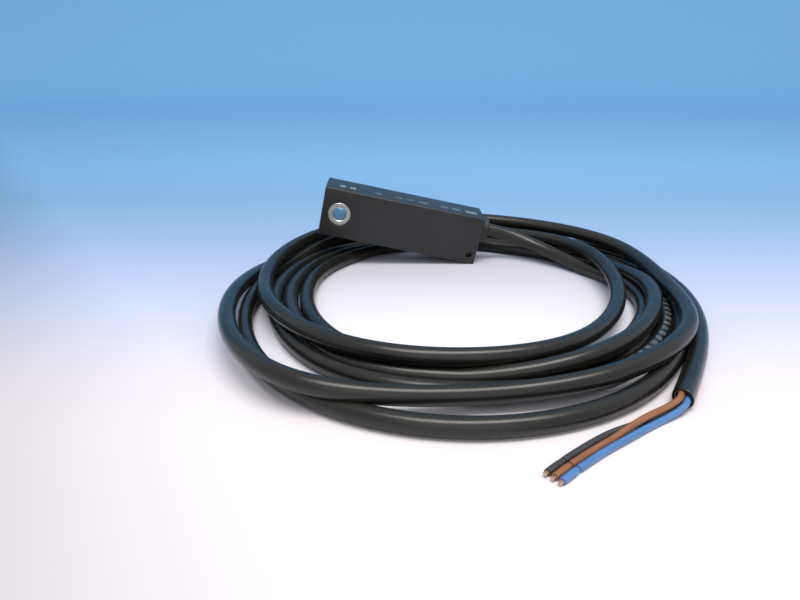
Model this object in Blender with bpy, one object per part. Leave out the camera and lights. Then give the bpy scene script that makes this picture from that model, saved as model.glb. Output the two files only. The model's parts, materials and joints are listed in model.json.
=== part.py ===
"""Block-shaped proximity sensor with a mounting sleeve and a moulded-on three-core cable.

Metres, +Z up. The sensor's length runs along +X, with its cable end at +X, and its front faces -Y.
It lies as it is put down on a table: one bottom corner stands on the table, and the other end is
propped up by the loosely coiled cable. The origin is under the housing's middle, on the table.
"""

from math import cos, pi, radians, sin

import bmesh
import bpy
import numpy as np
from mathutils import Matrix, Vector

MM = 0.001

# Housing, in millimetres and in its own axes: x along it, y front to back, z bottom to top.
LENGTH, DEPTH, HEIGHT = 53.0, 14.0, 16.0
WALL = 1.2
EDGE_RADIUS = 0.6
GAP = 0.3
HALF = Vector((LENGTH / 2, DEPTH / 2, HEIGHT / 2))
FRONT_INSIDE = -HALF.y + WALL
TURN, TILT, LEAN = radians(2.0), radians(12.1), radians(3.0)
HOUSING_TURN = (
    Matrix.Rotation(TURN, 3, "Z") @ Matrix.Rotation(TILT, 3, "Y") @ Matrix.Rotation(LEAN, 3, "X")
)

# Mounting sleeve, for an M4 screw
SLEEVE_X = -HALF.x + 5.8
SLEEVE_DIAMETER, SLEEVE_BORE = 7.5, 4.4
SLEEVE_SET_BACK = 0.03

# Status window in the front face's lower corner, by the cable
WINDOW_X, WINDOW_Z = HALF.x - 2.5, -HALF.z + 3.1
WINDOW_DIAMETER = 2.0

# Sensing head: a cup core and its coil, facing the top wall
HEAD_X, HEAD_DIAMETER, HEAD_DEPTH = -9.0, 10.0, 5.0
HEAD_TOP = HALF.z - WALL - GAP

# Circuit board: y of its front face, its outline, and the pieces on its back
BOARD_Y, BOARD_THICKNESS = 1.6, 0.9
BOARD_BACK = BOARD_Y + BOARD_THICKNESS
BOARD_LEFT, BOARD_STEP, BOARD_RIGHT = -2.0, 12.0, 24.6
BOARD_TOP, BOARD_SHELF = 6.4, -1.2
POTTING_RIGHT = 7.8

# Cable: jacket, cores, and where it leaves the right end
CABLE_DIAMETER, CORE_DIAMETER = 4.2, 1.3
CABLE_Z = 3.0
BUSHING_DIAMETER, BUSHING_NECK, BUSHING_BORE = 8.0, 6.0, 4.8
BUSHING_OUT = 2.4
LOW = CABLE_DIAMETER / 2

# The loose coil: each row is one turn, clockwise from above, as (distance from the coil's middle,
# height of the cable's middle) at every 30 degrees from 60 degrees on. The top turns rest on the
# ones below and sag to the table between them.
COIL_MIDDLE = Vector((11.6, -41.2))
FIRST_ANGLE, STATION = 60, 30
TURNS = [
    [(52.6, 2.4), (54.6, LOW), (51.4, LOW), (50.0, LOW), (43.5, LOW), (41.5, LOW),
     (38.3, LOW), (38.0, LOW), (42.3, LOW), (48.3, LOW), (54.6, LOW)],
    [(54.7, LOW), (56.8, 2.8), (56.5, 5.8), (53.9, 5.8), (52.9, 5.3), (48.4, LOW),
     (47.5, LOW), (42.7, LOW), (42.6, LOW), (46.6, LOW), (52.7, LOW), (58.7, LOW)],
    [(58.7, LOW), (61.0, LOW), (59.2, LOW), (57.2, LOW), (56.3, LOW), (53.8, LOW),
     (51.4, LOW), (47.0, LOW), (47.0, LOW), (51.0, LOW), (57.0, LOW), (62.8, LOW)],
    [(62.8, LOW), (65.2, LOW), (63.2, LOW), (61.4, LOW), (65.1, LOW), (66.8, LOW),
     (63.0, LOW), (56.1, LOW), (53.2, LOW), (55.6, LOW), (58.9, 5.8), (60.5, 5.9)],
    [(60.4, 5.9), (55.0, 7.0), (48.4, 5.3), (45.4, 4.8), (46.6, 5.6), (46.9, 6.0),
     (47.5, 6.3), (47.3, 6.3), (49.7, 5.7), (56.6, 6.4), (63.8, 7.9), (64.5, 9.0)],
    [(65.3, 8.9), (66.3, 7.9), (61.5, 6.3), (62.6, 6.4), (60.6, 5.2), (58.3, 3.7),
     (65.5, 6.3), (60.1, 6.3), (56.7, 4.9), (60.0, LOW), (65.3, LOW), (67.0, 2.6)],
    [(67.0, 3.0), (69.2, 3.6), (67.1, 2.6), (65.5, LOW)],
]  # fmt: skip
JACKET_END = Vector((54.5, -97.4, LOW))
# Past this y the coil runs close behind the housing, and its tube follows the route more finely
CLOSE_BEHIND = 3.0

# The bare cores run on side by side from the jacket's end: points of the middle one
CORE_ROUTE = [(53.8, -98.6, 1.9), (50.7, -101.0, 1.0), (43.4, -105.4, 0.65), (34.4, -111.4, 0.65),
              (27.7, -116.8, 0.65)]  # fmt: skip
CORE_SPACING = 1.65
CORE_POINTS = 10
SLUG_HEADING = Vector((-0.74, -0.675, 0)).normalized()
SLUG_GAP, SLUG_LENGTH, TIP_LENGTH, TIP_DIAMETER = 0.45, 4.2, 0.4, 0.8

HOUSING_BLACK = (0.030, 0.030, 0.031, 1)
CABLE_BLACK = (0.022, 0.023, 0.025, 1)
BROWN = (0.27, 0.11, 0.055, 1)
BLUE = (0.06, 0.22, 0.60, 1)


def clear_scene():
    for obj in list(bpy.data.objects):
        bpy.data.objects.remove(obj, do_unlink=True)


def material(name, colour, roughness, metallic=0.0):
    made = bpy.data.materials.get(name)
    if made:
        return made
    made = bpy.data.materials.new(name)
    made.use_nodes = True
    shader = made.node_tree.nodes["Principled BSDF"]
    shader.inputs["Base Color"].default_value = colour
    shader.inputs["Roughness"].default_value = roughness
    shader.inputs["Metallic"].default_value = metallic
    return made


def lowest_offset():
    """Height of the housing's middle above its lowest corner, whose edges are rounded."""
    down = HOUSING_TURN.row[2]
    return EDGE_RADIUS + sum(abs(down[i]) * (HALF[i] - EDGE_RADIUS) for i in range(3))


def housing_point(x, y, z):
    """A point given in the housing's axes, as a point over the table, in millimetres."""
    return HOUSING_TURN @ Vector((x, y, z)) + Vector((0, 0, lowest_offset()))


def make_frame():
    frame = bpy.data.objects.new("housing_frame", None)
    frame.matrix_world = Matrix.Translation((0, 0, lowest_offset() * MM)) @ HOUSING_TURN.to_4x4()
    bpy.context.scene.collection.objects.link(frame)
    return frame


def mesh_object(name, bm, look, parent):
    bmesh.ops.recalc_face_normals(bm, faces=bm.faces)
    mesh = bpy.data.meshes.new(name)
    bm.to_mesh(mesh)
    bm.free()
    obj = bpy.data.objects.new(name, mesh)
    bpy.context.scene.collection.objects.link(obj)
    obj.parent = parent
    if look:
        mesh.materials.append(look)
    return obj


def bevelled(obj, width, segments=2):
    bevel = obj.modifiers.new("edges", "BEVEL")
    bevel.width = width * MM
    bevel.segments = segments
    bevel.limit_method = "ANGLE"
    return obj


def box(name, low, high, look, parent, edge=0.0):
    bm = bmesh.new()
    size = [(b - a) * MM for a, b in zip(low, high)]
    middle = [(a + b) / 2 * MM for a, b in zip(low, high)]
    stretch = Matrix.Diagonal((*size, 1))
    bmesh.ops.create_cube(bm, size=1.0, matrix=Matrix.Translation(middle) @ stretch)
    obj = mesh_object(name, bm, look, parent)
    return bevelled(obj, edge) if edge else obj


AXIS_TURN = {
    "x": Matrix.Rotation(pi / 2, 4, "Y"),
    "y": Matrix.Rotation(-pi / 2, 4, "X"),
    "z": Matrix.Identity(4),
}


def turned(name, profile, at, axis, look, parent, steps=32):
    """A profile of (radius, distance along the axis) turned about an axis through `at`.

    A profile that starts and ends on the axis makes a solid; any other is closed into a ring.
    """
    bm = bmesh.new()
    verts = [bm.verts.new((r * MM, 0, along * MM)) for r, along in profile]
    on_axis = profile[0][0] == 0
    pairs = list(zip(verts, verts[1:])) + ([] if on_axis else [(verts[-1], verts[0])])
    edges = [bm.edges.new(pair) for pair in pairs]
    bmesh.ops.spin(bm, geom=verts + edges, cent=(0, 0, 0), axis=(0, 0, 1), angle=2 * pi,
                   steps=steps, use_merge=True)  # fmt: skip
    bmesh.ops.remove_doubles(bm, verts=bm.verts, dist=1e-7)
    bmesh.ops.transform(bm, matrix=AXIS_TURN[axis], verts=bm.verts)
    bmesh.ops.translate(bm, vec=Vector(at) * MM, verts=bm.verts)
    obj = mesh_object(name, bm, look, parent)
    obj.data.shade_smooth()
    obj.data.set_sharp_from_angle(angle=radians(35))
    return obj


def rod(name, radius, low, high, at, axis, look, parent, steps=24):
    profile = [(0, high), (radius, high), (radius, low), (0, low)]
    return turned(name, profile, at, axis, look, parent, steps)


def cut(obj, cutter):
    cutter.hide_render = True
    cutter.display_type = "WIRE"
    boolean = obj.modifiers.new(cutter.name, "BOOLEAN")
    boolean.operation = "DIFFERENCE"
    boolean.object = cutter


def chord_lengths(points):
    return np.linalg.norm(np.diff(points, axis=0), axis=1)


def smooth_curve(points, count=None, halved=()):
    """Points on the natural cubic spline through `points`: `count` of them evenly spaced, or each
    given point and one halfway along each stretch whose number is in `halved`."""
    points = np.array([tuple(p) for p in points], float)
    chord = chord_lengths(points)
    along = np.concatenate([[0], np.cumsum(chord)])
    size = len(points)
    system, right = np.eye(size), np.zeros_like(points)
    for i in range(1, size - 1):
        system[i, i - 1 : i + 2] = chord[i - 1], 2 * (chord[i - 1] + chord[i]), chord[i]
        right[i] = 6 * (
            (points[i + 1] - points[i]) / chord[i] - (points[i] - points[i - 1]) / chord[i - 1]
        )
    bend = np.linalg.solve(system, right)
    if count:
        wanted = np.linspace(0, along[-1], count)
    else:
        wanted = np.sort(np.concatenate([along, [along[i] + chord[i] / 2 for i in halved]]))
    found = []
    for s in wanted:
        i = min(max(int(np.searchsorted(along, s)) - 1, 0), size - 2)
        h, before, after = chord[i], along[i + 1] - s, s - along[i]
        found.append(
            (bend[i] * before**3 + bend[i + 1] * after**3) / (6 * h)
            + (points[i] / h - bend[i] * h / 6) * before
            + (points[i + 1] / h - bend[i + 1] * h / 6) * after
        )
    return np.array(found)


def tube(name, points, diameter, look, parent=None, sides=2):
    curve = bpy.data.curves.new(name, "CURVE")
    curve.dimensions = "3D"
    curve.bevel_depth = diameter / 2 * MM
    curve.bevel_resolution = sides
    curve.use_fill_caps = True
    spline = curve.splines.new("POLY")
    spline.points.add(len(points) - 1)
    for place, point in zip(spline.points, points):
        place.co = (*(Vector(point) * MM), 1)
    curve.materials.append(look)
    obj = bpy.data.objects.new(name, curve)
    bpy.context.scene.collection.objects.link(obj)
    obj.parent = parent
    return obj


def make_housing(frame):
    black = material("housing_plastic", HOUSING_BLACK, 0.45)
    shell = box("housing_shell", -HALF, HALF, black, frame)
    bevelled(shell, EDGE_RADIUS, 3)
    inner = HALF - Vector((WALL, 0, WALL))
    cavity = box("cavity_cutter", (-inner.x, FRONT_INSIDE, -inner.z),
                 (inner.x, HALF.y + 1, inner.z), None, frame)  # fmt: skip
    cut(shell, cavity)
    sleeve_hole = rod("sleeve_hole_cutter", SLEEVE_DIAMETER / 2 + GAP, -HALF.y - 1, HALF.y + 1,
                      (SLEEVE_X, 0, 0), "y", None, frame, 32)  # fmt: skip
    cut(shell, sleeve_hole)
    window_hole = rod("window_hole_cutter", WINDOW_DIAMETER / 2 + GAP, -HALF.y - 1, FRONT_INSIDE + 0.01,
                      (WINDOW_X, 0, WINDOW_Z), "y", None, frame, 20)  # fmt: skip
    cut(shell, window_hole)
    neck_hole = rod("neck_hole_cutter", BUSHING_NECK / 2 + GAP, inner.x - 1, HALF.x + 1,
                    (0, 0, CABLE_Z), "x", None, frame, 28)  # fmt: skip
    cut(shell, neck_hole)

    cover = box("rear_cover", (-inner.x + GAP, HALF.y - WALL, -inner.z + GAP),
                (inner.x - GAP, HALF.y, inner.z - GAP), black, frame)  # fmt: skip
    cut(cover, sleeve_hole)


def make_sleeve(frame):
    outer, bore, chamfer = SLEEVE_DIAMETER / 2, SLEEVE_BORE / 2, 0.3
    end = HALF.y - SLEEVE_SET_BACK
    outside = [(outer - chamfer, end), (outer, end - chamfer), (outer, chamfer - end),
               (outer - chamfer, -end)]  # fmt: skip
    inside = [(bore + chamfer, -end), (bore, chamfer - end), (bore, end - chamfer),
              (bore + chamfer, end)]  # fmt: skip
    nickel = material("nickel_brass", (0.72, 0.71, 0.69, 1), 0.28, 1.0)
    turned("mounting_sleeve", outside + inside, (SLEEVE_X, 0, 0), "y", nickel, frame, 40)


def make_light_guide(frame):
    smoked = material("smoked_window", (0.02, 0.02, 0.022, 1), 0.15)
    outer, stem = WINDOW_DIAMETER / 2, 0.7
    front, shoulder, back = -HALF.y, FRONT_INSIDE + 0.4, BOARD_Y - 1.4
    profile = [(0, back), (stem, back), (stem, shoulder), (outer, shoulder), (outer, front), (0, front)]
    turned("led_light_guide", profile, (WINDOW_X, 0, WINDOW_Z), "y", smoked, frame, 20)
    amber = material("led_amber", (0.85, 0.45, 0.05, 1), 0.3)
    wide, tall, thick = 1.6, 1.0, 0.8
    box("status_led", (WINDOW_X - wide / 2, BOARD_Y - GAP - thick, WINDOW_Z - tall / 2),
        (WINDOW_X + wide / 2, BOARD_Y - GAP, WINDOW_Z + tall / 2), amber, frame)  # fmt: skip


def make_sensing_head(frame):
    ferrite = material("ferrite", (0.05, 0.05, 0.055, 1), 0.6)
    nylon = material("bobbin_nylon", (0.75, 0.72, 0.62, 1), 0.5)
    copper = material("copper_wire", (0.72, 0.32, 0.16, 1), 0.3, 1.0)
    outer, cup_wall, post, base = HEAD_DIAMETER / 2, 0.9, 1.4, 1.3
    bottom = HEAD_TOP - HEAD_DEPTH
    at = (HEAD_X, 0, 0)
    cup = outer - cup_wall
    core = [(0, HEAD_TOP), (post, HEAD_TOP), (post, bottom + base), (cup, bottom + base),
            (cup, HEAD_TOP), (outer, HEAD_TOP), (outer, bottom), (0, bottom)]  # fmt: skip
    turned("ferrite_core", core, at, "z", ferrite, frame, 32)
    hub, flange, thick = post + GAP, cup - GAP, 0.3
    barrel, winding_gap = hub + 0.4, 0.2
    low, high = bottom + base + GAP, HEAD_TOP - 0.1
    bobbin = [(hub, high), (flange, high), (flange, high - thick), (barrel, high - thick),
              (barrel, low + thick), (flange, low + thick), (flange, low), (hub, low)]  # fmt: skip
    turned("coil_bobbin", bobbin, at, "z", nylon, frame, 32)
    inside = barrel + winding_gap
    top, under = high - thick - winding_gap, low + thick + winding_gap
    winding = [(inside, top), (flange, top), (flange, under), (inside, under)]
    turned("coil_winding", winding, at, "z", copper, frame, 32)
    below = bottom - GAP
    for number, y in enumerate((-1.6, 0.4), 1):
        drop = below - 5.0 - number
        route = [(HEAD_X + 2, y, below - 0.2), (HEAD_X + 4.4, y, below - 0.8),
                 (BOARD_LEFT - 0.9, y, below - 2.4), (BOARD_LEFT - 0.6, y, drop)]  # fmt: skip
        tube(f"coil_lead_{number}", smooth_curve(route, count=8), 0.35, copper, frame)


def make_board(frame):
    green = material("circuit_board", (0.03, 0.16, 0.07, 1), 0.5)
    board = box("circuit_board", (BOARD_LEFT, BOARD_Y, -BOARD_TOP),
                (BOARD_STEP, BOARD_BACK, BOARD_TOP), green, frame)  # fmt: skip
    shelf = box("board_shelf_join", (BOARD_STEP - 1, BOARD_Y, -BOARD_TOP),
                (BOARD_RIGHT, BOARD_BACK, BOARD_SHELF), None, frame)  # fmt: skip
    shelf.hide_render = True
    shelf.display_type = "WIRE"
    join = board.modifiers.new("shelf", "BOOLEAN")
    join.operation = "UNION"
    join.object = shelf

    epoxy = material("chip_epoxy", (0.025, 0.025, 0.028, 1), 0.45)
    ceramic = material("capacitor_ceramic", (0.55, 0.42, 0.28, 1), 0.5)
    resistor = material("resistor_film", (0.03, 0.03, 0.04, 1), 0.35)
    back = BOARD_BACK + GAP
    chips = {
        "oscillator_chip": ((3.0, 2.2), (5.0, 4.0), 1.5, epoxy),
        "output_transistor": ((8.8, -3.6), (2.9, 1.6), 1.1, epoxy),
        "voltage_regulator": ((8.8, 3.6), (2.9, 1.6), 1.1, epoxy),
        "protection_diode_1": ((15.6, -3.0), (3.4, 1.5), 1.1, epoxy),
        "protection_diode_2": ((15.6, -5.2), (3.4, 1.5), 1.1, epoxy),
        "capacitor_1": ((8.6, 0.6), (2.0, 1.25), 1.2, ceramic),
        "capacitor_2": ((3.0, -2.2), (2.0, 1.25), 1.2, ceramic),
        "capacitor_3": ((20.0, -3.2), (2.0, 1.25), 1.2, ceramic),
        "resistor_1": ((-0.4, -4.0), (1.6, 0.8), 0.5, resistor),
        "resistor_2": ((2.4, -4.8), (1.6, 0.8), 0.5, resistor),
        "resistor_3": ((5.2, -4.8), (1.6, 0.8), 0.5, resistor),
        "resistor_4": ((20.0, -5.2), (1.6, 0.8), 0.5, resistor),
        "resistor_5": ((6.6, -1.6), (1.6, 0.8), 0.5, resistor),
    }
    for name, ((x, z), (wide, tall), thick, look) in chips.items():
        low = (x - wide / 2, back, z - tall / 2)
        high = (x + wide / 2, back + thick, z + tall / 2)
        box(name, low, high, look, frame)


def make_potting(frame):
    resin = material("potting_resin", (0.10, 0.09, 0.08, 1), 0.35)
    box("potting_compound", (BOARD_LEFT + 0.5, FRONT_INSIDE + GAP, -BOARD_TOP),
        (POTTING_RIGHT, BOARD_Y - GAP, BOARD_TOP), resin, frame)  # fmt: skip


def core_looks():
    return {
        "brown": material("core_brown", BROWN, 0.4),
        "black": material("core_black", CABLE_BLACK, 0.4),
        "blue": material("core_blue", BLUE, 0.4),
    }


def make_cable_entry(frame):
    black = material("cable_jacket", CABLE_BLACK, 0.5)
    rubber = material("bushing_rubber", CABLE_BLACK, 0.6)
    face, inside = HALF.x + GAP, HALF.x - WALL - 0.8
    out, round_off = face + BUSHING_OUT, 0.5
    bore, neck, boss = BUSHING_BORE / 2, BUSHING_NECK / 2, BUSHING_DIAMETER / 2
    profile = [(bore, out), (boss - round_off, out), (boss, out - round_off), (boss, face),
               (neck, face), (neck, inside), (bore, inside)]  # fmt: skip
    turned("cable_bushing", profile, (0, 0, CABLE_Z), "x", rubber, frame, 32)

    stub_end, stub_start = inside - GAP, 16.5
    entry = (0, 0, CABLE_Z)
    rod("inner_cable_stub", CABLE_DIAMETER / 2, stub_start, stub_end, entry, "x", black, frame, 20)
    nylon = material("clamp_nylon", (0.65, 0.64, 0.6, 1), 0.5)
    clamp_start, clamp_end, reach = 18.6, 21.8, 3.4
    clamp = box("cable_clamp", (clamp_start, -reach, CABLE_Z - reach),
                (clamp_end, reach, CABLE_Z + reach), nylon, frame, 0.4)  # fmt: skip
    cut(clamp, rod("clamp_hole_cutter", CABLE_DIAMETER / 2 + GAP, clamp_start - 1, clamp_end + 1,
                   (0, 0, CABLE_Z), "x", None, frame))  # fmt: skip

    tin = material("solder", (0.75, 0.75, 0.76, 1), 0.3, 1.0)
    pads = {"brown": 4.6, "black": 2.6, "blue": 0.6}
    apart = 0.85
    for number, (colour, look) in enumerate(core_looks().items()):
        angle = radians(90 + 120 * number)
        start = Vector((stub_start - GAP, apart * cos(angle), CABLE_Z + apart * sin(angle)))
        pad = Vector((10.6, BOARD_Y - 1.1, pads[colour]))
        route = [start, start - Vector((1.5, 0, 0)), (start + pad) / 2 + Vector((0, 0.1, 0)),
                 pad + Vector((1.0, 0, 0)), pad]  # fmt: skip
        tube(f"inner_lead_{colour}", smooth_curve(route, count=9), 1.0, look, frame)
        turned(f"solder_joint_{colour}", [(0, -0.35), (0.35, -0.3), (0.8, GAP), (0, GAP)],
               (pad.x - 1.3, BOARD_Y - 2 * GAP, pad.z), "y", tin, frame, 16)  # fmt: skip


def coil_route():
    """The cable's whole route: straight out of the bushing, round the coil's turns, to the cut end."""
    route = [housing_point(HALF.x - 0.5, 0, CABLE_Z), housing_point(HALF.x + 5, 0, CABLE_Z),
             housing_point(HALF.x + 11, -0.5, CABLE_Z - 0.4)]  # fmt: skip
    for turn_number, turn in enumerate(TURNS):
        skipped = 1 if turn_number == 0 else 0
        for station, (distance, height) in enumerate(turn, skipped):
            angle = radians(FIRST_ANGLE - STATION * station)
            across = Vector((cos(angle), sin(angle))) * distance + COIL_MIDDLE
            route.append(Vector((*across, height)))
    return route + [JACKET_END]


def make_cable():
    route = coil_route()
    close_behind = [
        i for i, ends in enumerate(zip(route, route[1:])) if min(p.y for p in ends) > CLOSE_BEHIND
    ]
    points = smooth_curve(route, halved=close_behind)
    tube("cable_jacket", points, CABLE_DIAMETER, material("cable_jacket", CABLE_BLACK, 0.5))


def make_cores():
    """Three bare cores side by side, each with its cut slug of insulation and its tinned tip."""
    brass_tin = material("tinned_copper", (0.78, 0.74, 0.70, 1), 0.3, 1.0)
    middle = smooth_curve(CORE_ROUTE, count=CORE_POINTS)
    ahead = np.gradient(middle[:, :2], axis=0)
    ahead /= np.linalg.norm(ahead, axis=1)[:, None]
    sideways = np.column_stack([ahead[:, 1], -ahead[:, 0], np.zeros(CORE_POINTS)])
    for place, (colour, look) in zip((0, 1, -1), core_looks().items()):
        spread = np.linspace(0.9, 1.0, CORE_POINTS)[:, None] * place * CORE_SPACING
        points = middle + sideways * spread
        tube(f"core_{colour}", points, CORE_DIAMETER, look)
        forward = np.array(SLUG_HEADING)
        slug = points[-1] + forward * SLUG_GAP
        tip = slug + forward * (SLUG_LENGTH + GAP)
        tube(f"insulation_slug_{colour}", [slug, slug + forward * SLUG_LENGTH], CORE_DIAMETER, look)
        tube(f"conductor_tip_{colour}", [tip, tip + forward * TIP_LENGTH], TIP_DIAMETER, brass_tin)


def main():
    clear_scene()
    frame = make_frame()
    make_housing(frame)
    make_sleeve(frame)
    make_light_guide(frame)
    make_sensing_head(frame)
    make_board(frame)
    make_potting(frame)
    make_cable_entry(frame)
    make_cable()
    make_cores()


main()
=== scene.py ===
"""Looks of the block-shaped proximity sensor on its loosely coiled cable.

Lengths are in millimetres until they reach Blender, which works in metres. The housing has axes of
its own: x along it, y front to back, z bottom to top, from its middle.
"""

import json
from math import cos, pi, radians, sin

import bmesh
import bpy
import numpy as np
from mathutils import Matrix, Vector


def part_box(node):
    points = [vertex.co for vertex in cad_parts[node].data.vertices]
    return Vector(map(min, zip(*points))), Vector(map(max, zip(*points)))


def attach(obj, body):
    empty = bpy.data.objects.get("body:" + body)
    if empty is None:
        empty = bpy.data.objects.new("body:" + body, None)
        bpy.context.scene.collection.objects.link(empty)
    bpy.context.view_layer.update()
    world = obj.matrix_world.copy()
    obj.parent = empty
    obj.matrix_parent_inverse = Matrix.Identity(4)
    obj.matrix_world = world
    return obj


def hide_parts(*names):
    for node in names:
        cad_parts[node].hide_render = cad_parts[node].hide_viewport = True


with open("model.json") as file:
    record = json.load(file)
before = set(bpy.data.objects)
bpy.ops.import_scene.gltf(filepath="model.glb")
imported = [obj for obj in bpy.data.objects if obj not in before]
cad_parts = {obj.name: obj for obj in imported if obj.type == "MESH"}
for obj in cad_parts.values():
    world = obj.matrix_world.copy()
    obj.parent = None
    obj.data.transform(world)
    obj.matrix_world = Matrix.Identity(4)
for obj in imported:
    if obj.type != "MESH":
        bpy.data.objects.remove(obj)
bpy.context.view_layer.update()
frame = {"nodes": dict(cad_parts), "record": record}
SCENE = bpy.context.scene

MM = 0.001
MERGE_DISTANCE = 1e-7

# The housing, as the CAD model has it
HALF = Vector((26.5, 7.0, 8.0))
EDGE_RADIUS, WALL, GAP = 0.4, 1.2, 0.3
SLEEVE_X, SLEEVE_DIAMETER, SLEEVE_BORE = -20.7, 7.5, 4.4
WINDOW_X, WINDOW_Z, WINDOW_DIAMETER = 24.0, -4.9, 2.0
CABLE_Z = 3.0
BUSHING_DIAMETER, BUSHING_NECK, BUSHING_BORE, BUSHING_OUT = 8.0, 6.0, 4.8, 2.4

# The cable and its cores
CABLE_DIAMETER, CORE_DIAMETER = 4.2, 1.3
JACKET_WALL, CUT_SLANT = 0.75, 0.9
LOW = CABLE_DIAMETER / 2
COIL_MIDDLE = Vector((11.6, -41.2))
FIRST_ANGLE, STATION = 60, 30
TURNS = [
    [(52.6, 2.4), (54.6, LOW), (51.4, LOW), (50.0, LOW), (43.5, LOW), (41.5, LOW),
     (38.3, LOW), (38.0, LOW), (42.3, LOW), (48.3, LOW), (54.6, LOW)],
    [(54.7, LOW), (56.8, 2.8), (56.5, 5.8), (53.9, 5.8), (52.9, 5.3), (48.4, LOW),
     (47.5, LOW), (42.7, LOW), (42.6, LOW), (46.6, LOW), (52.7, LOW), (58.7, LOW)],
    [(58.7, LOW), (61.0, LOW), (59.2, LOW), (57.2, LOW), (56.3, LOW), (53.8, LOW),
     (51.4, LOW), (47.0, LOW), (47.0, LOW), (51.0, LOW), (57.0, LOW), (62.8, LOW)],
    [(62.8, LOW), (65.2, LOW), (63.2, LOW), (61.4, LOW), (65.1, LOW), (66.8, LOW),
     (63.0, LOW), (56.1, LOW), (53.2, LOW), (55.6, LOW), (58.9, 5.8), (60.5, 5.9)],
    [(60.4, 5.9), (55.0, 7.0), (48.4, 5.3), (45.4, 4.8), (46.6, 5.6), (46.9, 6.0),
     (47.5, 6.3), (47.3, 6.3), (49.7, 5.7), (56.6, 6.4), (63.8, 7.9), (64.5, 9.0)],
    [(65.3, 8.9), (66.3, 7.9), (61.5, 6.3), (62.6, 6.4), (60.6, 5.2), (58.3, 3.7),
     (65.5, 6.3), (60.1, 6.3), (56.7, 4.9), (60.0, LOW), (65.3, LOW), (67.0, 2.6)],
    [(67.0, 3.0), (69.2, 3.6), (67.1, 2.6), (65.5, LOW)],
]  # fmt: skip
JACKET_END = Vector((54.5, -97.4, LOW))
CORE_ROUTE = [(53.8, -98.6, 1.9), (50.7, -101.0, 1.0), (43.4, -105.4, 0.65), (34.4, -111.4, 0.65),
              (27.7, -116.8, 0.65)]  # fmt: skip
SLUG_HEADING = Vector((-0.74, -0.675, 0)).normalized()
CORE_SPACING = 1.45
BROWN_LIFT, BROWN_LIFT_ENDS = 0.6, 0.65
CABLE_STEP, CORE_STEP = 1.3, 0.5
SLUG_GAP, SLUG_LENGTH, TIP_LENGTH, TIP_DIAMETER = 0.45, 4.2, 0.4, 0.8

CAMERA_AT, CAMERA_PITCH, CAMERA_LENS, CAMERA_SENSOR = (-0.4, -199.2, 61.3), 21.0, 27.0, 36.0


# --- Geometry helpers ---


def housing_matrix():
    """The housing's place: its middle from its node, its axes from the record's mounts."""
    low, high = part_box("housing_shell")
    axes = {m["name"]: Vector(m["axis"]).normalized() for m in frame["record"]["mounts"]}
    back, up = axes["rear_face"], axes["active_face"]
    along = back.cross(up).normalized()
    turn = Matrix((along, back, up)).transposed().to_4x4()
    return Matrix.Translation((low + high) / 2) @ turn


HOUSING = housing_matrix()


def housing_point(x, y, z):
    """A point in the housing's axes, as a point over the table."""
    return (HOUSING @ (Vector((x, y, z)) * MM)) / MM


def smooth_curve(points, step):
    """Points about `step` apart on the natural cubic spline through `points`."""
    points = np.array([tuple(p) for p in points], float)
    chord = np.linalg.norm(np.diff(points, axis=0), axis=1)
    along = np.concatenate([[0], np.cumsum(chord)])
    size = len(points)
    system, right = np.eye(size), np.zeros_like(points)
    for i in range(1, size - 1):
        system[i, i - 1 : i + 2] = chord[i - 1], 2 * (chord[i - 1] + chord[i]), chord[i]
        right[i] = 6 * (
            (points[i + 1] - points[i]) / chord[i] - (points[i] - points[i - 1]) / chord[i - 1]
        )
    bend = np.linalg.solve(system, right)
    wanted = np.linspace(0, along[-1], max(int(along[-1] / step), 2) + 1)
    place = np.clip(np.searchsorted(along, wanted) - 1, 0, size - 2)
    h = chord[place][:, None]
    before, after = (along[place + 1] - wanted)[:, None], (wanted - along[place])[:, None]
    return (
        (bend[place] * before**3 + bend[place + 1] * after**3) / (6 * h)
        + (points[place] / h - bend[place] * h / 6) * before
        + (points[place + 1] / h - bend[place + 1] * h / 6) * after
    )


def frames_along(points):
    """(forward, side, up) at each point, carried along without twist."""
    forward = np.gradient(points, axis=0)
    forward /= np.linalg.norm(forward, axis=1)[:, None]
    side = np.cross(forward[0], (0, 0, 1.0))
    sides = []
    for ahead in forward:
        side = side - ahead * (side @ ahead)
        side /= np.linalg.norm(side)
        sides.append(side)
    sides = np.array(sides)
    return forward, sides, np.cross(sides, forward)


def new_object(name, mesh, look):
    obj = bpy.data.objects.new(name, mesh)
    SCENE.collection.objects.link(obj)
    mesh.materials.append(look)
    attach(obj, "root")
    return obj


def loft(name, rings, look, lay=None):
    """A closed skin through rings of points, each ring an array of the same size, with both ends
    capped. `lay` gives each ring's distance along the piece, kept for the material."""
    count, sides = len(rings), len(rings[0])
    verts = np.concatenate(rings) * MM
    faces = []
    for i in range(count - 1):
        for j in range(sides):
            k = (j + 1) % sides
            faces.append((i * sides + j, i * sides + k, (i + 1) * sides + k, (i + 1) * sides + j))
    faces.append(tuple(range(sides))[::-1])
    faces.append(tuple((count - 1) * sides + j for j in range(sides)))
    mesh = bpy.data.meshes.new(name)
    mesh.from_pydata(verts.tolist(), [], faces)
    bm = bmesh.new()
    bm.from_mesh(mesh)
    bmesh.ops.recalc_face_normals(bm, faces=bm.faces)
    bm.to_mesh(mesh)
    bm.free()
    mesh.shade_smooth()
    mesh.set_sharp_from_angle(angle=radians(40))
    if lay is not None:
        round_it = np.arange(sides) * 2 * pi / sides
        store = mesh.attributes.new("lay", "FLOAT_VECTOR", "POINT")
        values = np.empty((count, sides, 3), np.float32)
        values[:, :, 0] = np.asarray(lay)[:, None]
        values[:, :, 1] = np.cos(round_it)
        values[:, :, 2] = np.sin(round_it)
        store.data.foreach_set("vector", values.ravel())
    return new_object(name, mesh, look)


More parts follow.
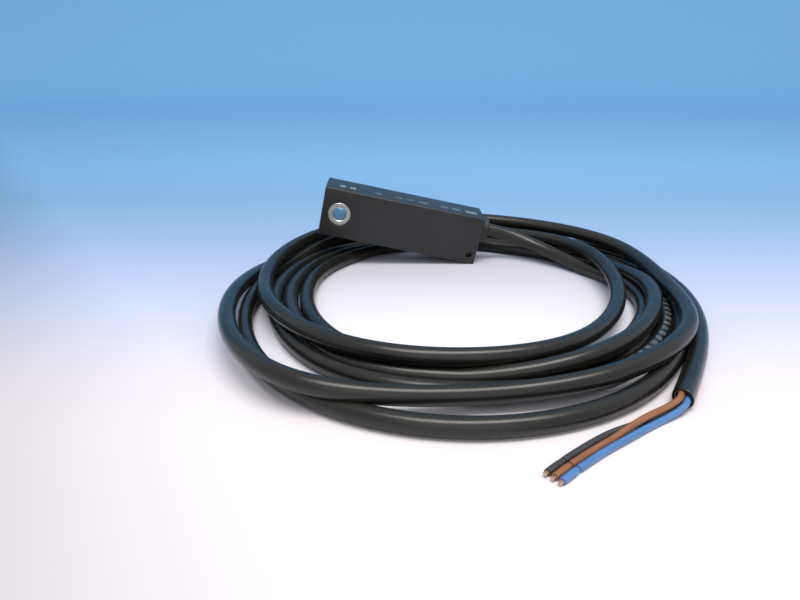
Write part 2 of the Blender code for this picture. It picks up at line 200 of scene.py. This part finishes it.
def tube(name, points, radius, look, sides=24):
    """A round tube along `points`; `radius` is one number or one for each point."""
    _, side, up = frames_along(points)
    radius = np.broadcast_to(np.asarray(radius, float), len(points))
    angle = np.arange(sides) * 2 * pi / sides
    rings = [
        p + r * (np.outer(np.cos(angle), s) + np.outer(np.sin(angle), u))
        for p, r, s, u in zip(points, radius, side, up)
    ]
    lay = np.concatenate([[0], np.cumsum(np.linalg.norm(np.diff(points, axis=0), axis=1))])
    return loft(name, rings, look, lay)


AXIS_TURN = {
    "x": Matrix.Rotation(pi / 2, 4, "Y"),
    "y": Matrix.Rotation(-pi / 2, 4, "X"),
}


def spin_profile(bm, profile, steps, closed):
    """Spins a profile of (radius, distance along the axis) all the way round."""
    verts = [bm.verts.new((r * MM, 0, along * MM)) for r, along in profile]
    pairs = list(zip(verts, verts[1:])) + ([(verts[-1], verts[0])] if closed else [])
    edges = [bm.edges.new(pair) for pair in pairs]
    bmesh.ops.spin(bm, geom=verts + edges, cent=(0, 0, 0), axis=(0, 0, 1), angle=2 * pi,
                   steps=steps, use_merge=True)  # fmt: skip
    bmesh.ops.remove_doubles(bm, verts=bm.verts, dist=MERGE_DISTANCE)


def place_on_axis(bm, axis, at):
    """Turns a spun shape to an axis of the housing and moves it to its point there."""
    bmesh.ops.transform(bm, matrix=AXIS_TURN[axis], verts=bm.verts)
    bmesh.ops.translate(bm, vec=Vector(at) * MM, verts=bm.verts)


def smooth_mesh(name, bm, sharp_angle):
    """A mesh that is shaded smooth, apart from edges sharper than an angle in degrees."""
    mesh = bpy.data.meshes.new(name)
    bm.to_mesh(mesh)
    bm.free()
    mesh.shade_smooth()
    mesh.set_sharp_from_angle(angle=radians(sharp_angle))
    return mesh


def turned(name, profile, at, axis, look, steps=96):
    """A visible piece turned about an axis of the housing, with a hole where the profile leaves one."""
    bm = bmesh.new()
    spin_profile(bm, profile, steps, closed=profile[0][0] != 0)
    bmesh.ops.recalc_face_normals(bm, faces=bm.faces)
    place_on_axis(bm, axis, at)
    bmesh.ops.transform(bm, matrix=HOUSING, verts=bm.verts)
    return new_object(name, smooth_mesh(name, bm, 32), look)


def cutter(mesh_maker):
    """A throwaway mesh for a Boolean, in the housing's axes."""
    bm = bmesh.new()
    mesh_maker(bm)
    bmesh.ops.recalc_face_normals(bm, faces=bm.faces)
    mesh = bpy.data.meshes.new("cutter")
    bm.to_mesh(mesh)
    bm.free()
    obj = bpy.data.objects.new("cutter", mesh)
    SCENE.collection.objects.link(obj)
    return obj


def lathe_cutter(profile, at, axis, steps=96):
    """A round cutter, turned about an axis of the housing."""

    def make(bm):
        spin_profile(bm, profile, steps, closed=False)
        place_on_axis(bm, axis, at)

    return cutter(make)


def box_into(bm, low, high):
    low, high = Vector(low) * MM, Vector(high) * MM
    stretch = Matrix.Diagonal((*(high - low), 1))
    bmesh.ops.create_cube(bm, size=1.0, matrix=Matrix.Translation((low + high) / 2) @ stretch)


def carved(name, make, edge, segments, cutters, look):
    """A mesh in the housing's axes with rounded edges, less its cutters, set in its place."""
    obj = cutter(make)
    bevel = obj.modifiers.new("edges", "BEVEL")
    bevel.width = edge * MM
    bevel.segments = segments
    bevel.limit_method = "ANGLE"
    for tool in cutters:
        boolean = obj.modifiers.new("cut", "BOOLEAN")
        boolean.operation = "DIFFERENCE"
        boolean.object = tool
    graph = bpy.context.evaluated_depsgraph_get()
    mesh = bpy.data.meshes.new_from_object(obj.evaluated_get(graph))
    mesh.name = name
    mesh.materials.clear()
    own = np.empty(len(mesh.vertices) * 3, np.float32)
    mesh.vertices.foreach_get("co", own)
    mesh.attributes.new("own", "FLOAT_VECTOR", "POINT").data.foreach_set("vector", own / MM)
    mesh.transform(HOUSING)
    for spare in [obj, *cutters]:
        bpy.data.objects.remove(spare, do_unlink=True)
    mesh.shade_smooth()
    mesh.set_sharp_from_angle(angle=radians(30))
    return new_object(name, mesh, look)


# --- Materials ---


class Look:
    """A Principled material built up from procedural noise."""

    def __init__(self, name, colour, roughness, metallic=0.0, coords="Object"):
        self.material = bpy.data.materials.new(name)
        self.material.use_nodes = True
        tree = self.material.node_tree
        self.nodes, self.links = tree.nodes, tree.links
        self.shader = self.nodes["Principled BSDF"]
        self.shader.inputs["Metallic"].default_value = metallic
        self.colour = colour
        self.shader.inputs["Base Color"].default_value = (*colour, 1)
        self.shader.inputs["Roughness"].default_value = roughness
        if coords == "lay":
            source = self.nodes.new("ShaderNodeAttribute")
            source.attribute_name = "lay"
            self.coords = source.outputs["Vector"]
        else:
            self.coords = self.nodes.new("ShaderNodeTexCoord").outputs[coords]
        self.normal = None

    def add(self, kind, **inputs):
        node = self.nodes.new(kind)
        for key, value in inputs.items():
            socket = node.inputs[key.replace("_", " ")]
            if isinstance(value, bpy.types.NodeSocket):
                self.links.new(value, socket)
            else:
                socket.default_value = value
        return node

    def stretched(self, scale):
        mapping = self.add("ShaderNodeMapping", Vector=self.coords)
        mapping.inputs["Scale"].default_value = scale
        return mapping.outputs["Vector"]

    def noise(self, scale, detail=4.0, roughness=0.55, stretch=None):
        vector = self.stretched(stretch) if stretch else self.coords
        node = self.add("ShaderNodeTexNoise", Vector=vector, Scale=scale, Detail=detail,
                        Roughness=roughness)  # fmt: skip
        return node.outputs["Fac"]

    def span(self, fac, low, high, start=0.3, end=0.7):
        """Maps a noise value to a number between low and high."""
        node = self.nodes.new("ShaderNodeMapRange")
        self.links.new(fac, node.inputs["Value"])
        for key, value in (("From Min", start), ("From Max", end), ("To Min", low), ("To Max", high)):
            node.inputs[key].default_value = value
        return node.outputs["Result"]

    def tint(self, fac, darker, lighter, start=0.3, end=0.7):
        """Colour between darker and lighter multiples of the base colour."""
        node = self.nodes.new("ShaderNodeValToRGB")
        self.links.new(fac, node.inputs["Fac"])
        node.color_ramp.elements[0].position = start
        node.color_ramp.elements[1].position = end
        for element, share in zip(node.color_ramp.elements, (darker, lighter)):
            element.color = (*(min(c * share, 1) for c in self.colour), 1)
        return node.outputs["Color"]

    def mix(self, fac, under, over):
        """A blend of two colours."""
        node = self.nodes.new("ShaderNodeMix")
        node.data_type = "RGBA"
        for key, value in ((0, fac), (6, under), (7, over)):
            if isinstance(value, bpy.types.NodeSocket):
                self.links.new(value, node.inputs[key])
            else:
                node.inputs[key].default_value = value
        return node.outputs[2]

    def near(self, value, middle, reach):
        """One where a value is within `reach` of `middle`, else zero."""
        node = self.nodes.new("ShaderNodeMath")
        node.operation = "COMPARE"
        self.links.new(value, node.inputs[0])
        node.inputs[1].default_value, node.inputs[2].default_value = middle, reach
        return node.outputs[0]

    def maths(self, first, second, operation="ADD"):
        """A Math node on two numbers, each a socket or a plain value."""
        node = self.nodes.new("ShaderNodeMath")
        node.operation = operation
        for socket, value in zip(node.inputs, (first, second)):
            if isinstance(value, bpy.types.NodeSocket):
                self.links.new(value, socket)
            else:
                socket.default_value = value
        return node.outputs[0]

    def attribute(self, name):
        """The three numbers of an attribute stored on the mesh."""
        source = self.nodes.new("ShaderNodeAttribute")
        source.attribute_name = name
        split = self.nodes.new("ShaderNodeSeparateXYZ")
        self.links.new(source.outputs["Vector"], split.inputs[0])
        return split.outputs

    def bump(self, height, distance, strength=1.0):
        """Adds a bump, its distance in millimetres, over those added before."""
        node = self.add("ShaderNodeBump", Height=height, Distance=distance * MM, Strength=strength)
        if self.normal is not None:
            self.links.new(self.normal, node.inputs["Normal"])
        self.normal = node.outputs["Normal"]

    def use(self, **sockets):
        for key, value in sockets.items():
            socket = self.shader.inputs[key.replace("_", " ")]
            if isinstance(value, bpy.types.NodeSocket):
                self.links.new(value, socket)
            else:
                socket.default_value = value

    def done(self):
        if self.normal is not None:
            self.links.new(self.normal, self.shader.inputs["Normal"])
        return self.material


def moulded(name, colour, roughness, grain=0.012, grain_scale=2600, mottle=0.12, spread=0.06):
    """Moulded plastic, or what looks like it: a faint fine grain, slow changes of colour and gloss."""
    look = Look(name, colour, roughness)
    cloud = look.noise(180, 5)
    look.use(Base_Color=look.tint(cloud, 1 - mottle, 1 + mottle))
    look.use(Roughness=look.span(look.noise(420, 6), roughness - spread, roughness + spread))
    look.bump(look.noise(grain_scale, 3), grain)
    return look.done()


def metal(name, colour, roughness):
    """Bare metal with a fine even grain and a slightly uneven sheen."""
    look = Look(name, colour, roughness, metallic=1.0)
    look.use(Base_Color=look.tint(look.noise(350, 4), 0.88, 1.08))
    grain = look.noise(2400, 4, stretch=(1, 1, 1))
    look.use(Roughness=look.span(grain, roughness - 0.08, roughness + 0.12))
    look.bump(grain, 0.006)
    return look.done()


# Plain bars printed in a row on the top face: middle, half length, strength. The row: middle, half width
PRINTED_BARS = [(-21.2, 0.9, 0.6), (-17.8, 0.9, 0.65), (-9.4, 1.0, 0.2), (-2.4, 1.2, 0.16),
                (1.2, 1.4, 0.16), (5.6, 1.6, 0.2), (13.0, 1.2, 0.2), (17.0, 1.4, 0.28),
                (22.3, 2.0, 0.6)]  # fmt: skip
PRINTED_ROW = (-1.7, 1.2)


def housing_look():
    """Black glass-filled plastic with a fine spark-eroded grain, dust and polished-looking spots."""
    look = Look("housing_plastic", (0.013, 0.0135, 0.014), 0.40)
    cloud = look.noise(120, 6)
    dust = look.span(look.noise(900, 2), 0.0, 0.35, 0.62, 0.75)
    base = look.tint(cloud, 0.85, 1.2)
    base = look.mix(dust, base, (0.05, 0.05, 0.05, 1))
    x, y, z = look.attribute("own")
    marks = None
    for middle, reach, strength in PRINTED_BARS:
        bar = look.maths(look.near(x, middle, reach), strength, "MULTIPLY")
        marks = bar if marks is None else look.maths(marks, bar)
    row = look.maths(look.near(y, *PRINTED_ROW), look.near(z, HALF.z, 0.3), "MULTIPLY")
    worn = look.span(look.noise(1800, 3), 0.35, 1.0, 0.35, 0.6)
    marks = look.maths(look.maths(marks, row, "MULTIPLY"), worn, "MULTIPLY")
    look.use(Base_Color=look.mix(marks, base, (0.42, 0.45, 0.46, 1)))
    look.use(Roughness=look.span(look.noise(260, 6), 0.33, 0.46))
    look.bump(look.noise(3200, 2, 0.5), 0.02)
    look.bump(look.noise(700, 3), 0.015, 0.5)
    return look.done()


# Plain dashes printed in a row on the cable: from and to along it, their spacing and length, and half
# their width as a share of the cable's radius
PRINTED, DASH_EVERY, DASH_LONG, DASH_HALF_WIDTH = (706.0, 764.0), 3.4, 1.9, 0.34


def cable_look():
    """Black PVC: faint drawing lines along the cable, slow dents, and dull and polished patches."""
    look = Look("cable_pvc", (0.0095, 0.009, 0.007), 0.3, coords="lay")
    patches = look.noise(0.35, 6, stretch=(0.25, 1.5, 1.5))
    base = look.tint(patches, 0.8, 1.3)
    along, aside, above = look.attribute("lay")
    printed = look.near(along, sum(PRINTED) / 2, (PRINTED[1] - PRINTED[0]) / 2)
    place = look.maths(along, DASH_EVERY, "MODULO")
    dash = look.near(place, DASH_EVERY / 2, DASH_LONG / 2)
    middle = look.near(aside, 0.0, DASH_HALF_WIDTH)
    upper = look.maths(middle, look.maths(above, 0.0, "GREATER_THAN"), "MULTIPLY")
    dash = look.maths(look.maths(dash, printed, "MULTIPLY"), upper, "MULTIPLY")
    worn = look.span(look.noise(2.5, 3), 0.25, 0.9, 0.35, 0.65)
    dash = look.maths(dash, worn, "MULTIPLY")
    look.use(Base_Color=look.mix(dash, base, (0.15, 0.17, 0.18, 1)))
    look.use(Roughness=look.span(look.noise(1.3, 6, stretch=(0.4, 2, 2)), 0.24, 0.33))
    look.use(Specular_IOR_Level=0.46)
    look.bump(look.noise(9.0, 3, stretch=(0.02, 1, 1)), 0.008, 0.5)
    look.bump(look.noise(1.6, 3, stretch=(0.2, 1, 1)), 0.03, 0.4)
    look.bump(look.noise(14, 2, stretch=(0.5, 1, 1)), 0.002, 0.5)
    return look.done()


def core_look(name, colour, roughness=0.33):
    """Soft insulation: smooth, with slight changes of shade along it."""
    look = Look(name, colour, roughness, coords="lay")
    look.use(Base_Color=look.tint(look.noise(0.8, 5, stretch=(0.3, 1, 1)), 0.82, 1.18))
    uneven = look.noise(2.5, 4, stretch=(0.4, 1, 1))
    look.use(Roughness=look.span(uneven, roughness - 0.06, roughness + 0.1))
    look.bump(look.noise(5.0, 3, stretch=(0.08, 1, 1)), 0.012)
    return look.done()


def board_look():
    """Green solder mask over faint copper tracks."""
    look = Look("circuit_board", (0.02, 0.13, 0.05), 0.4)
    tracks = look.add("ShaderNodeTexVoronoi", Vector=look.coords, Scale=420.0)
    tracks.distance = "MANHATTAN"
    track = look.span(tracks.outputs["Distance"], 0, 1, 0.45, 0.5)
    look.use(Base_Color=look.mix(track, (0.02, 0.13, 0.05, 1), (0.035, 0.2, 0.085, 1)))
    look.bump(track, 0.03)
    return look.done()


def winding_look():
    """Enamelled copper wire, wound in close turns."""
    look = Look("copper_wire", (0.72, 0.30, 0.13), 0.3, metallic=1.0)
    wave = look.add("ShaderNodeTexWave", Vector=look.coords, Scale=1500.0, Distortion=1.0)
    wave.bands_direction = "Z"
    look.use(Base_Color=look.tint(wave.outputs["Fac"], 0.55, 1.1, 0.1, 0.8))
    look.bump(wave.outputs["Fac"], 0.05)
    return look.done()


LOOKS = {
    "housing": housing_look(),
    "sleeve": metal("nickel_plating", (0.56, 0.57, 0.55), 0.36),
    "window": moulded("smoked_window", (0.003, 0.003, 0.004), 0.5, grain=0.002),
    "led": moulded("led_amber", (0.85, 0.4, 0.04), 0.25, grain=0.002),
    "ferrite": moulded("ferrite", (0.05, 0.05, 0.055), 0.6, grain=0.03),
    "nylon": moulded("nylon", (0.62, 0.58, 0.46), 0.45),
    "copper": winding_look(),
    "board": board_look(),
    "chip": moulded("chip_epoxy", (0.022, 0.022, 0.025), 0.5, grain=0.02),
    "capacitor": moulded("capacitor_ceramic", (0.45, 0.33, 0.2), 0.45),
    "resistor": moulded("resistor_film", (0.02, 0.02, 0.03), 0.3),
    "potting": moulded("potting_resin", (0.05, 0.042, 0.035), 0.22, grain=0.02, grain_scale=600),
    "solder": metal("solder", (0.75, 0.75, 0.77), 0.32),
    "cable": cable_look(),
    "bushing": moulded("bushing_rubber", (0.018, 0.018, 0.019), 0.5, grain=0.02),
    "core_brown": core_look("core_brown", (0.25, 0.10, 0.042)),
    "core_black": core_look("core_black", (0.038, 0.036, 0.042)),
    "core_blue": core_look("core_blue", (0.067, 0.18, 0.41)),
    "conductor": metal("tinned_copper", (0.60, 0.42, 0.34), 0.35),
}


# --- The cable ---


def coil_route():
    """The cable's whole route: straight out of the bushing, round the coil's turns, to the cut end."""
    route = [housing_point(HALF.x - 0.5, 0, CABLE_Z), housing_point(HALF.x + 5, 0, CABLE_Z),
             housing_point(HALF.x + 11, -0.5, CABLE_Z - 0.4)]  # fmt: skip
    for turn_number, turn in enumerate(TURNS):
        skipped = 1 if turn_number == 0 else 0
        for station, (distance, height) in enumerate(turn, skipped):
            angle = radians(FIRST_ANGLE - STATION * station)
            across = Vector((cos(angle), sin(angle))) * distance + COIL_MIDDLE
            route.append(Vector((*across, height)))
    return route + [JACKET_END]


def make_cable():
    """The jacket: one long tube whose cut end is hollow and a little oblique."""
    points = smooth_curve(coil_route(), CABLE_STEP)
    points[:, 2] = np.maximum(points[:, 2], LOW)
    forward, side, up = frames_along(points)
    sides = 28
    angle = np.arange(sides) * 2 * pi / sides
    circle = [np.outer(np.cos(angle), s) + np.outer(np.sin(angle), u) for s, u in zip(side, up)]
    outer, inner = CABLE_DIAMETER / 2, CABLE_DIAMETER / 2 - JACKET_WALL
    rings = [p + outer * c for p, c in zip(points, circle)]
    lay = [0.0, *np.cumsum(np.linalg.norm(np.diff(points, axis=0), axis=1))]
    end, ahead, ring = points[-1], forward[-1], circle[-1]
    oblique = np.outer(ring @ np.array((0.9, -0.45, 0.0)), ahead) * CUT_SLANT
    lip = [(outer, 0.35), (outer - 0.12, 0.5), (inner + 0.1, 0.5), (inner, 0.4), (inner, -1.2)]
    for radius, push in lip:
        rings.append(end + ahead * push + ring * radius + oblique * (radius / outer) * (push > 0))
        lay.append(lay[-1] + 0.3)
    cable = loft("cable_jacket_pvc", rings, LOOKS["cable"], lay)
    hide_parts("cable_jacket")


def make_camera():
    data = bpy.data.cameras.new("camera")
    data.lens, data.sensor_width = CAMERA_LENS, CAMERA_SENSOR
    data.clip_start, data.clip_end = 0.005, 20
    camera = bpy.data.objects.new("camera", data)
    camera.location = Vector(CAMERA_AT) * MM
    camera.rotation_euler = (radians(90 - CAMERA_PITCH), 0, 0)
    SCENE.collection.objects.link(camera)
    SCENE.camera = camera


def smooth_step(value, start, end):
    """From zero at `start` to one at `end`, easing in and out."""
    t = np.clip((value - start) / (end - start), 0, 1)
    return t * t * (3 - 2 * t)


# Each core: its place among the three in the jacket (side, up), its place on the table (in spacings
# to the side), and between what shares of the way it moves from one to the other. The brown one is
# also lifted over the black one on the way.
CORES = {
    "brown": ((0.40, 0.69), 0.0, 0.25, 0.70),
    "black": ((0.45, -0.62), 1.0, 0.25, 0.65),
    "blue": ((-0.85, 0.05), -1.0, 0.25, 0.65),
}


def core_points(colour):
    """A core's middle line: out of the jacket among the other two, then beside them on the table."""
    (side_in, up_in), place, leaves, arrives = CORES[colour]
    middle = smooth_curve([JACKET_END, *CORE_ROUTE], CORE_STEP)
    ahead = np.gradient(middle[:, :2], axis=0)
    ahead /= np.linalg.norm(ahead, axis=1)[:, None]
    side = np.column_stack([ahead[:, 1], -ahead[:, 0], np.zeros(len(middle))])
    share = np.linspace(0, 1, len(middle))
    settled = smooth_step(share, leaves, arrives)[:, None]
    across = side_in * (1 - settled) + place * CORE_SPACING * settled
    lift = np.array((0, 0, up_in)) * (1 - settled)
    if colour == "brown":
        lift[:, 2] += BROWN_LIFT * np.sin(pi * np.clip(share / BROWN_LIFT_ENDS, 0, 1))
    points = middle + side * across + lift
    points[:, 2] = np.maximum(points[:, 2], CORE_DIAMETER / 2)
    return points


def make_conductor(name, start, forward, length, gap_start):
    """Fine strands, twisted together, from inside the insulation to the cut tip."""
    strands, wire, turn_length = 7, TIP_DIAMETER / 6, 9.0
    side = np.cross(forward, (0, 0, 1.0))
    side /= np.linalg.norm(side)
    up = np.cross(side, forward)
    bm = bmesh.new()
    rows, sides = 14, 8
    angle = np.arange(sides) * 2 * pi / sides
    for number in range(strands + 1):
        orbit = 0 if number == strands else TIP_DIAMETER / 2 - wire
        thick = wire * (1.7 if number == strands else 1.0)
        uneven = 0.06 * sin(number * 2.4)
        previous = None
        for row in range(rows):
            s = length * row / (rows - 1) + (uneven if row == rows - 1 else 0)
            phase = 2 * pi * (number / strands + s / turn_length)
            middle = start + forward * (gap_start + s) + orbit * (side * cos(phase) + up * sin(phase))
            ring = [
                bm.verts.new(tuple((middle + thick * (side * cos(a) + up * sin(a))) * MM)) for a in angle
            ]
            if previous:
                for j in range(sides):
                    k = (j + 1) % sides
                    bm.faces.new((previous[j], previous[k], ring[k], ring[j]))
            else:
                bm.faces.new(ring[::-1])
            previous = ring
        bm.faces.new(previous)
    bmesh.ops.recalc_face_normals(bm, faces=bm.faces)
    return new_object(name, smooth_mesh(name, bm, 50), LOOKS["conductor"])


def make_core(colour):
    """A core's insulation, the cut slug past its end, and the wire that joins and leaves them."""
    look, slot, radius = LOOKS[f"core_{colour}"], f"core_{colour}", CORE_DIAMETER / 2
    points = core_points(colour)
    swell = np.full(len(points), radius)
    swell[-1] = radius * 0.93
    core = tube(f"core_{colour}_insulation", points, swell, look, sides=20)
    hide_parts(f"core_{colour}")

    heading = np.array(SLUG_HEADING)
    slug_start = points[-1] + heading * SLUG_GAP
    steps = np.linspace(0, SLUG_LENGTH, 9)
    slug_points = slug_start + np.outer(steps, heading)
    pinch = radius * (1 - 0.07 * np.exp(-(((steps - 0.5) / 0.22) ** 2)))
    pinch[[0, -1]] = radius * 0.92
    slug = tube(f"cut_insulation_{colour}", slug_points, pinch, look, sides=20)
    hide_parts(f"insulation_slug_{colour}")

    hidden = 0.6
    length = SLUG_GAP + GAP + SLUG_LENGTH + TIP_LENGTH + hidden
    tip = make_conductor(f"conductor_{colour}", points[-1], heading, length, -hidden)
    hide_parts(f"conductor_tip_{colour}")


# --- The housing's pieces ---


def make_bushing():
    """The round boss at the cable's exit, with a rounded rim and a softened mouth."""
    face, inside = HALF.x + 0.02, HALF.x - WALL - 0.8
    out, bore, neck = HALF.x + GAP + BUSHING_OUT, BUSHING_BORE / 2 - 0.2, BUSHING_NECK / 2 + 0.2
    boss = BUSHING_DIAMETER / 2
    rounding = [
        (boss - 0.7 + 0.7 * sin(a), out - 0.7 + 0.7 * cos(a)) for a in np.linspace(0, pi / 2, 7)
    ]
    lip = [(bore, out - 0.5), (bore + 0.08, out - 0.18), (bore + 0.3, out)]
    profile = [*lip, *rounding, (boss, face), (neck, face), (neck, inside), (bore, inside)]
    bushing = turned("cable_boss", profile, (0, 0, CABLE_Z), "x", LOOKS["bushing"])
    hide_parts("cable_bushing")
    return bushing


def make_housing():
    """The moulded box: rounded edges, and crisp holes for sleeve, window and cable, those for sleeve and
    window with a small lead-in. The back is open for its cover."""
    inner = HALF - Vector((WALL, 0, WALL))
    hole = SLEEVE_DIAMETER / 2 + 0.03
    lead = 0.15
    end = HALF.y + 1
    sleeve_hole = lathe_cutter(
        [(0, end), (hole + lead + 1, end), (hole + lead, HALF.y), (hole, HALF.y - lead),
         (hole, lead - HALF.y), (hole + lead, -HALF.y), (hole + lead + 1, -end), (0, -end)],
        (SLEEVE_X, 0, 0), "y")  # fmt: skip
    window_hole = lathe_cutter(
        [(0, -end), (WINDOW_DIAMETER / 2 + 1.1, -end), (WINDOW_DIAMETER / 2 + 0.06, -HALF.y),
         (WINDOW_DIAMETER / 2 + 0.02, 0.05 - HALF.y), (WINDOW_DIAMETER / 2 + 0.02, WALL + 0.1 - HALF.y),
         (0, WALL + 0.1 - HALF.y)],
        (WINDOW_X, 0, WINDOW_Z), "y", 48)  # fmt: skip
    neck = BUSHING_NECK / 2 + 0.21
    neck_hole = lathe_cutter([(0, HALF.x + 1), (neck, HALF.x + 1), (neck, inner.x - 1), (0, inner.x - 1)],
                             (0, 0, CABLE_Z), "x", 48)  # fmt: skip
    cavity = cutter(lambda bm: box_into(bm, (-inner.x, WALL - HALF.y, -inner.z), (inner.x, end, inner.z)))
    shell = carved("housing", lambda bm: box_into(bm, -HALF, HALF), EDGE_RADIUS, 6,
                   [cavity, sleeve_hole, window_hole, neck_hole], LOOKS["housing"])  # fmt: skip
    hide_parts("housing_shell")

    sleeve_hole = lathe_cutter([(0, end), (hole, end), (hole, -end), (0, -end)], (SLEEVE_X, 0, 0), "y")
    slit = 0.08
    cover = carved(
        "housing_back",
        lambda bm: box_into(bm, (slit - inner.x, HALF.y - WALL, slit - inner.z),
                            (inner.x - slit, HALF.y - 0.05, inner.z - slit)),
        0.15, 3, [sleeve_hole], LOOKS["housing"])  # fmt: skip
    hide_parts("rear_cover")


def make_sleeve():
    """Nickel-plated sleeve: chamfered both sides, with faint turned rings on its end faces."""
    outer, bore, end = SLEEVE_DIAMETER / 2, SLEEVE_BORE / 2, HALF.y
    chamfer, rings, groove = 0.22, 5, 0.012
    face = [(outer, end - chamfer), (outer - chamfer, end)]
    for number in range(1, rings):
        radius = outer - chamfer - (outer - bore - 2 * chamfer) * number / rings
        face += [(radius + 0.06, end), (radius, end - groove), (radius - 0.06, end)]
    face += [(bore + chamfer, end), (bore, end - chamfer)]
    profile = face + [(radius, -along) for radius, along in reversed(face)]
    sleeve = turned("screw_sleeve", profile, (SLEEVE_X, 0, 0), "y", LOOKS["sleeve"], 128)
    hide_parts("mounting_sleeve")


def make_window():
    """Smoked lens, domed, set back in its hole."""
    radius, setback, dome = WINDOW_DIAMETER / 2, 0.8, 0.15
    front = setback - HALF.y
    profile = [(0, front)]
    profile += [(radius * t, front + dome * t * t) for t in (0.25, 0.5, 0.75, 0.9)]
    flange, stem, back = front + 1.1, 0.7, 0.2
    profile += [(radius, front + dome + 0.05), (radius, flange), (stem, flange), (stem, back), (0, back)]
    lens = turned("status_window", profile, (WINDOW_X, 0, WINDOW_Z), "y", LOOKS["window"], 48)
    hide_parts("led_light_guide")


# The backdrop's colour by its share of the way from front to back, both in metres
FADE_FROM, FADE_TO = -0.13, 1.70
FADE = {0.013: (0.75, 0.71, 0.73), 0.024: (0.71, 0.67, 0.72), 0.038: (0.58, 0.60, 0.73),
        0.058: (0.43, 0.51, 0.70), 0.084: (0.30, 0.43, 0.64), 0.126: (0.21, 0.40, 0.63),
        0.19: (0.22, 0.46, 0.75), 0.51: (0.26, 0.57, 0.93), 0.74: (0.30, 0.66, 1.0)}  # fmt: skip
# Painted light and shade on the floor inside the coil, paler than the fade around it and darker at the
# back: out to where it fades, and its colours at the back and the front
PAINTED_PATCH_FULL, PAINTED_PATCH_NONE = 0.046, 0.064
PAINTED_PATCH_BACK, PAINTED_PATCH_FRONT = (0.55, 0.54, 0.61, 1), (0.74, 0.73, 0.78, 1)


def make_floor():
    """A pale sheet that turns blue towards the back and rises into a wall there. It has painted shade,
    dimmer to the left of a slanting line, and painted light and shade inside the coil: paler than the
    fade, darker at the back."""
    look = Look("backdrop", (0.9, 0.9, 0.9), 0.9)
    where = look.nodes.new("ShaderNodeSeparateXYZ")
    look.links.new(look.coords, where.inputs["Vector"])
    ramp = look.nodes.new("ShaderNodeValToRGB")
    look.links.new(look.span(where.outputs["Y"], 0, 1, FADE_FROM, FADE_TO), ramp.inputs["Fac"])
    elements = ramp.color_ramp.elements
    for place in list(FADE)[1:-1]:
        elements.new(place)
    for element, (place, colour) in zip(elements, FADE.items()):
        element.position = place
        element.color = (*colour, 1)
    # Painted shade: the floor's colour is scaled down to 0.74 left of a slanting line, where less light
    # falls.
    slant = look.add("ShaderNodeVectorMath", Vector=look.coords)
    slant.operation = "DOT_PRODUCT"
    slant.inputs[1].default_value = (1.0, 0.7, 0.0)
    painted_shade_left = look.span(slant.outputs["Value"], 0.74, 1.0, -0.150, -0.105)
    painted_shade_scaling = look.nodes.new("ShaderNodeVectorMath")
    painted_shade_scaling.operation = "SCALE"
    middle = look.add("ShaderNodeVectorMath", Vector=look.coords)
    middle.operation = "DISTANCE"
    middle.inputs[1].default_value = (*(COIL_MIDDLE * MM), 0)
    # Painted light and shade: inside the coil the floor takes its own paler colour, darker towards the
    # back.
    inside = look.span(middle.outputs["Value"], 1, 0, PAINTED_PATCH_FULL, PAINTED_PATCH_NONE)
    painted_patch_towards_front = look.span(where.outputs["Y"], 0, 1, -0.018, -0.058)
    painted_patch_colour = look.mix(painted_patch_towards_front, PAINTED_PATCH_BACK, PAINTED_PATCH_FRONT)
    look.links.new(look.mix(inside, ramp.outputs["Color"], painted_patch_colour), painted_shade_scaling.inputs[0])
    look.links.new(painted_shade_left, painted_shade_scaling.inputs["Scale"])
    look.use(Base_Color=painted_shade_scaling.outputs["Vector"], Specular_IOR_Level=0.1)

    wide, near, far, high, bend = 2.5, -2.0, 1.2, 1.6, 0.5
    profile = [(near, 0.0), (-0.5, 0.0), (0.0, 0.0), (0.4, 0.0), (far, 0.0)]
    profile += [(far + bend * sin(a), bend - bend * cos(a)) for a in np.linspace(0, pi / 2, 10)[1:]]
    profile += [(far + bend, high)]
    mesh = bpy.data.meshes.new("backdrop")
    verts = [(x, y, z) for y, z in profile for x in (-wide, wide)]
    faces = [(2 * i, 2 * i + 1, 2 * i + 3, 2 * i + 2) for i in range(len(profile) - 1)]
    mesh.from_pydata(verts, [], faces)
    mesh.shade_smooth()
    mesh.materials.append(look.done())
    floor = bpy.data.objects.new("backdrop", mesh)
    SCENE.collection.objects.link(floor)


def area_light(name, at, size, power, colour=(1, 1, 1), towards=(0, -0.04, 0)):
    data = bpy.data.lights.new(name, "AREA")
    data.shape = "RECTANGLE"
    data.size, data.size_y = size
    data.energy = power
    data.color = colour
    light = bpy.data.objects.new(name, data)
    light.location = at
    light.rotation_euler = (Vector(towards) - Vector(at)).to_track_quat("-Z", "Y").to_euler()
    SCENE.collection.objects.link(light)


def make_light():
    world = bpy.data.worlds.new("studio")
    SCENE.world = world
    world.use_nodes = True
    background = world.node_tree.nodes["Background"]
    background.inputs["Color"].default_value = (0.90, 0.94, 1.0, 1)
    background.inputs["Strength"].default_value = 0.70
    area_light("key", (0.06, -0.20, 0.65), (0.62, 0.24), 4.2, (1.0, 0.96, 0.91), (0.02, -0.10, 0))
    area_light("fill", (0.0, -0.62, 0.36), (0.6, 0.5), 0.5)


def finish_nodes():
    """Every CAD node takes its slot's material, so the ones that stay visible look right."""
    for part in frame["record"]["subparts"]:
        obj = frame["nodes"][part["node"]]
        obj.data.materials.clear()
        obj.data.materials.append(LOOKS[part["material_slot"]])


make_camera()
bushing = make_bushing()
make_cable()
for core_colour in CORES:
    make_core(core_colour)
make_housing()
make_sleeve()
make_window()
finish_nodes()
make_floor()
make_light()
SCENE.view_settings.view_transform = "Standard"
